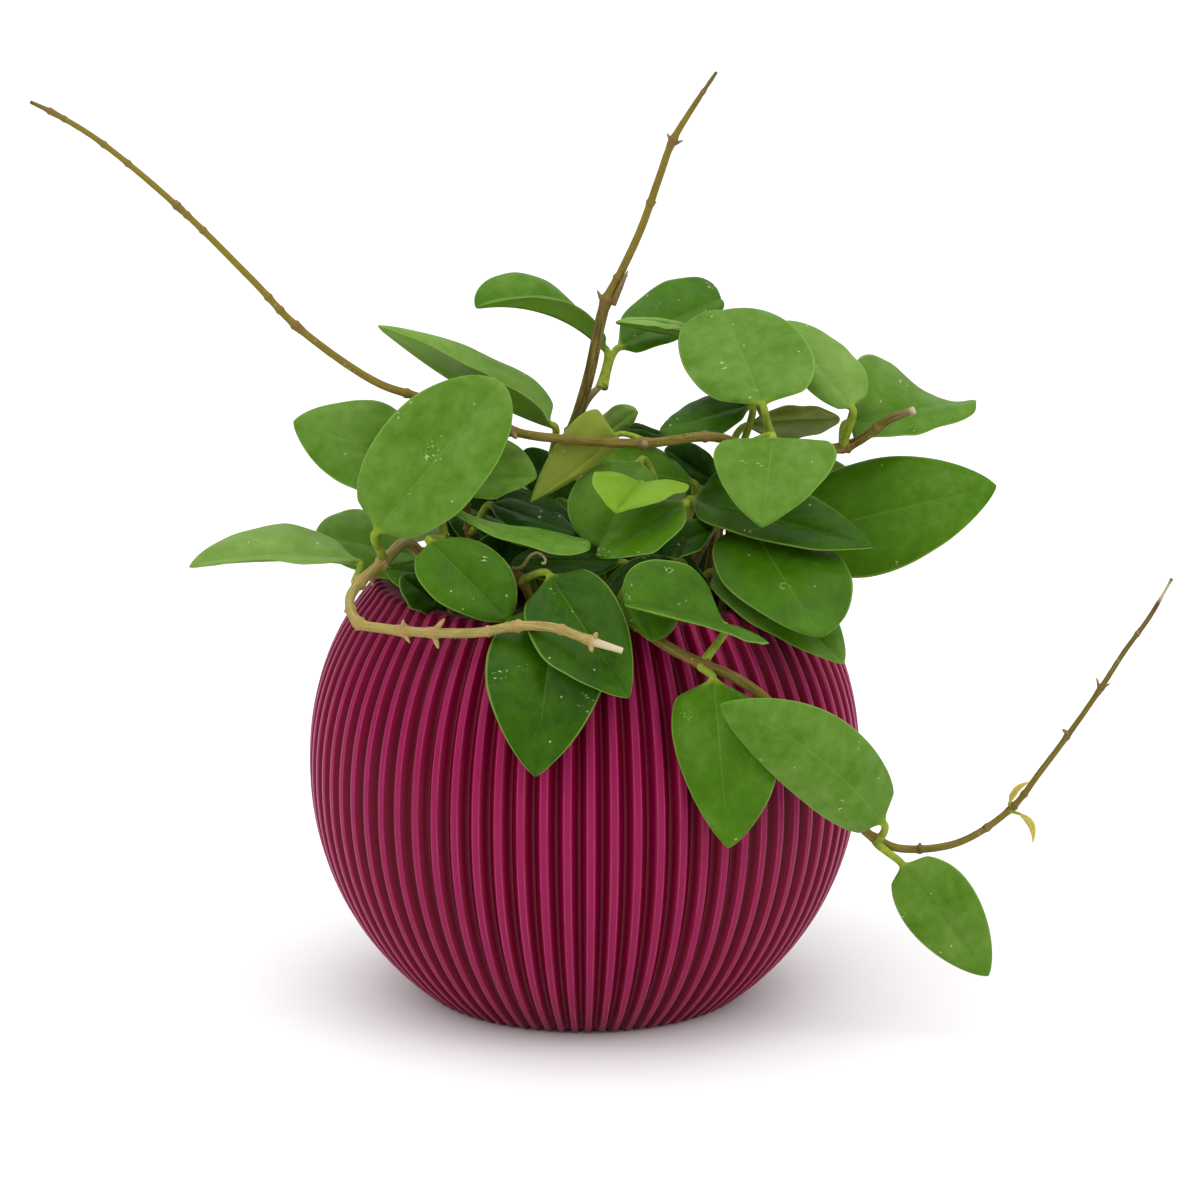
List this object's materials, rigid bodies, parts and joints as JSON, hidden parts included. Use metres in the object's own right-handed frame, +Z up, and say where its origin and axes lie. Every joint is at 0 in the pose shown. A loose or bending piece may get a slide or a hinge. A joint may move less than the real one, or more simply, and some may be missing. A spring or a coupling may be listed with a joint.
{
  "type": "potted hoya",
  "caption": "Ball-shaped ribbed pot filled with soil, with a hoya whose thick oval leaves and long woody vines spread over the rim.",
  "frame": {"origin": "centre of the pot's flat foot, in the plane that it stands on", "axes": "+X to the right, +Y to the back and +Z up, as seen from the side where the vine trails over the rim"},
  "size_m": [0.3645, 0.2085, 0.3048],
  "materials": {
    "glaze": "semi-gloss magenta glaze, darker in the grooves",
    "earth": "dark crumbly potting soil",
    "bark": "smooth brown to olive stem",
    "pale_bark": "pale, slightly rough old stem",
    "leaf": "waxy mid green with a lighter underside",
    "young_leaf": "waxy bright yellow-green",
    "olive_leaf": "waxy olive underside"
  },
  "bodies": {
    "root": {"pot": "glaze", "soil": "earth", "long_left_vine": "bark", "long_left_leaf_1": "leaf", "long_left_leaf_2": "olive_leaf", "upright_vine": "bark", "upright_leaf_1": "leaf", "upright_leaf_2": "leaf", "upright_leaf_3": "leaf", "upright_leaf_4": "leaf", "trailing_vine": "bark", "trailing_leaf_1": "leaf", "trailing_leaf_2": "leaf", "trailing_leaf_3": "leaf", "trailing_leaf_4": "leaf", "trailing_leaf_5": "leaf", "front_loop_vine": "pale_bark", "front_loop_leaf_1": "leaf", "front_loop_leaf_2": "leaf", "top_right_vine": "bark", "top_right_leaf_1": "leaf", "top_right_leaf_2": "leaf", "top_right_leaf_3": "leaf", "top_right_leaf_4": "leaf", "top_right_leaf_5": "leaf", "top_right_leaf_6": "olive_leaf", "low_right_vine": "bark", "low_right_leaf_1": "leaf", "low_right_leaf_2": "leaf", "low_right_leaf_3": "leaf", "low_right_leaf_4": "leaf", "front_vine": "bark", "front_leaf_1": "leaf", "front_leaf_2": "leaf", "front_leaf_3": "leaf", "front_leaf_4": "leaf", "left_vine": "bark", "left_leaf_1": "leaf", "left_leaf_2": "leaf", "left_leaf_3": "leaf", "left_leaf_4": "leaf", "left_leaf_5": "leaf", "centre_vine": "bark", "centre_leaf_1": "leaf", "centre_leaf_2": "leaf", "centre_leaf_3": "young_leaf", "centre_leaf_4": "leaf", "centre_leaf_5": "leaf", "back_vine": "bark", "back_leaf_1": "leaf", "back_leaf_2": "leaf", "back_leaf_3": "leaf", "back_left_vine": "bark", "back_left_leaf_1": "leaf", "back_left_leaf_2": "leaf", "back_left_leaf_3": "leaf", "back_right_vine": "bark", "back_right_leaf_1": "leaf", "back_right_leaf_2": "leaf", "back_right_leaf_3": "leaf"}
  },
  "joints": []
}
